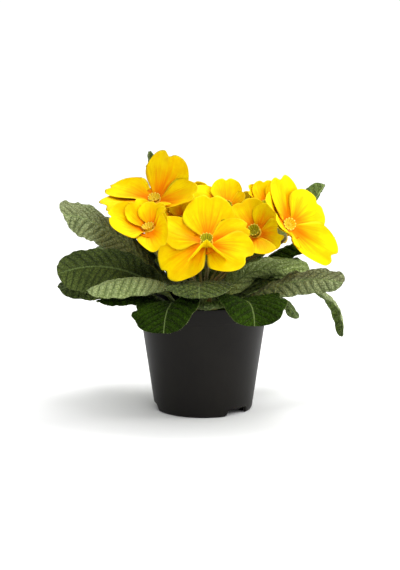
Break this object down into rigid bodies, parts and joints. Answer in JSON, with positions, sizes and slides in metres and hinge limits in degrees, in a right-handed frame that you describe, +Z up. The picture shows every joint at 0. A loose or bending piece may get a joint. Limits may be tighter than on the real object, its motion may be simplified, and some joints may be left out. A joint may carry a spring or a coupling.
{
  "type": "potted primrose",
  "caption": "Flowering primrose with a rosette of quilted leaves and a dome of yellow blooms, in a plain round nursery pot.",
  "frame": {"origin": "middle of the circle that the pot's foot stands on", "axes": "+Z up along the pot's axis, -Y towards the side that the picture shows, +X to its right"},
  "size_m": [0.196, 0.1513, 0.1771],
  "materials": {
    "pot": "satin charcoal plastic",
    "soil": "moist crumbly potting compost",
    "crown": "fleshy green stem",
    "leaf": "quilted satin green leaf",
    "petal": "soft yellow petal with an orange star",
    "stalk": "hairy olive-brown stalk and green calyx",
    "eye": "pleated green-yellow throat"
  },
  "bodies": {
    "root": {"pot": "pot", "potting_soil": "soil", "crown": "crown", "leaf_left_high": "leaf", "leaf_left_middle": "leaf", "leaf_left_low": "leaf", "leaf_left_front": "leaf", "leaf_left_under": "leaf", "leaf_front_left": "leaf", "leaf_front": "leaf", "leaf_front_right": "leaf", "leaf_front_small": "leaf", "leaf_right_front": "leaf", "leaf_right": "leaf", "leaf_right_low": "leaf", "leaf_right_back": "leaf", "leaf_right_high": "leaf", "leaf_right_upright": "leaf", "leaf_back_upright": "leaf", "leaf_back_right": "leaf", "leaf_back": "leaf", "leaf_back_left": "leaf", "leaf_back_high_right": "leaf", "leaf_back_high_left": "leaf", "leaf_back_high": "leaf", "bloom_front_corolla": "petal", "bloom_front_stalk": "stalk", "bloom_front_eye": "eye", "bloom_left_top_corolla": "petal", "bloom_left_top_stalk": "stalk", "bloom_left_top_eye": "eye", "bloom_left_low_corolla": "petal", "bloom_left_low_stalk": "stalk", "bloom_left_low_eye": "eye", "bloom_middle_corolla": "petal", "bloom_middle_stalk": "stalk", "bloom_middle_eye": "eye", "bloom_back_corolla": "petal", "bloom_back_stalk": "stalk", "bloom_back_eye": "eye", "bloom_right_middle_corolla": "petal", "bloom_right_middle_stalk": "stalk", "bloom_right_middle_eye": "eye", "bloom_right_corolla": "petal", "bloom_right_stalk": "stalk", "bloom_right_eye": "eye", "bloom_right_back_corolla": "petal", "bloom_right_back_stalk": "stalk", "bloom_right_back_eye": "eye", "bloom_far_left_corolla": "petal", "bloom_far_left_stalk": "stalk", "bloom_far_left_eye": "eye", "bloom_far_right_corolla": "petal", "bloom_far_right_stalk": "stalk", "bloom_far_right_eye": "eye"}
  },
  "joints": []
}
